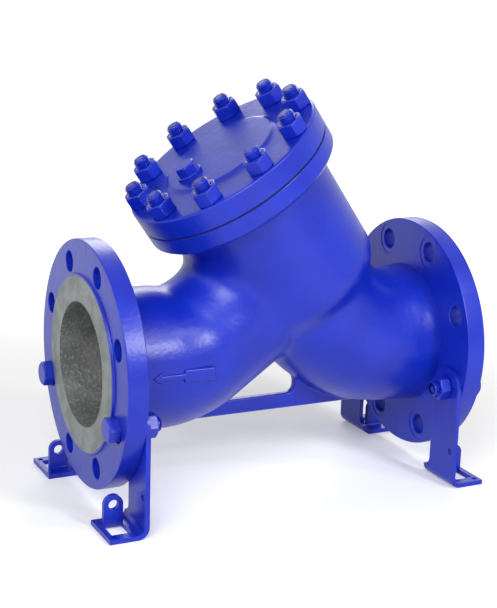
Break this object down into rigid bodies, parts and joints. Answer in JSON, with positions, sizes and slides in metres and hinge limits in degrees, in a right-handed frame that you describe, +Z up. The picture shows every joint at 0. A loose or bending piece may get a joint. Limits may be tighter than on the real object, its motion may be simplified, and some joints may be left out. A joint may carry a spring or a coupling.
{
  "type": "flanged y strainer",
  "caption": "Flanged Y-type pipe strainer: cast body with a leaning leg, bolted cover with a drain plug, a lift-out screen inside, and bent strip feet.",
  "frame": {"origin": "on the floor under the middle of the face-to-face length", "axes": "+X along the pipe axis towards the inlet flange, +Y across, +Z up"},
  "size_m": [0.508, 0.2998, 0.5041],
  "materials": {
    "blue_enamel": "semi-gloss enamel over a sand casting",
    "stainless": "rolled sheet",
    "stainless_mesh": "woven wire",
    "gasket": "matt graphite sheet",
    "copper": "soft copper ring"
  },
  "bodies": {
    "body": {"body": "blue_enamel", "cover_gasket": "gasket", "cover_studs": "blue_enamel", "foot_inlet_front": "blue_enamel", "foot_inlet_back": "blue_enamel", "foot_outlet_front": "blue_enamel", "foot_outlet_back": "blue_enamel", "foot_bolt_inlet_front": "blue_enamel", "foot_bolt_inlet_back": "blue_enamel", "foot_bolt_outlet_front": "blue_enamel", "foot_bolt_outlet_back": "blue_enamel", "foot_nut_inlet_front": "blue_enamel", "foot_nut_inlet_back": "blue_enamel", "foot_nut_outlet_front": "blue_enamel", "foot_nut_outlet_back": "blue_enamel"},
    "cover": {"cover": "blue_enamel"},
    "cover_nuts": {"cover_nuts": "blue_enamel"},
    "screen": {"screen_sheet": "stainless", "screen_liner": "stainless_mesh", "screen_top_ring": "stainless", "screen_bottom_ring": "stainless"},
    "drain_plug_seal": {"drain_plug_seal": "copper"},
    "drain_plug": {"drain_plug": "blue_enamel"}
  },
  "joints": [
    {"name": "cover_off", "type": "slide", "parent": "body", "child": "cover", "axis": [-0.5736, 0, 0.8192], "range_m": [0, 0.45]},
    {"name": "cover_nuts_off", "type": "slide", "parent": "body", "child": "cover_nuts", "axis": [-0.5736, 0, 0.8192], "range_m": [0, 0.545]},
    {"name": "screen_out", "type": "slide", "parent": "body", "child": "screen", "axis": [-0.5736, 0, 0.8192], "range_m": [0, 0.25]},
    {"name": "drain_plug_travel", "type": "slide", "parent": "cover", "child": "drain_plug_seal", "axis": [-0.5736, 0, 0.8192], "range_m": [0, 0.0165]},
    {"name": "drain_plug_turn", "type": "hinge", "parent": "drain_plug_seal", "child": "drain_plug", "pos_m": [-0.10176, 0, 0.39357], "axis": [-0.5736, 0, 0.8192], "range_deg": [0, 3240]}
  ],
  "couplings": [
    {"joint": "cover_nuts_off", "follows": "cover_off", "ratio": 1.2},
    {"joint": "screen_out", "follows": "cover_off", "ratio": 0.55},
    {"joint": "drain_plug_travel", "follows": "drain_plug_turn", "m_per_rad": 0.00028871}
  ]
}
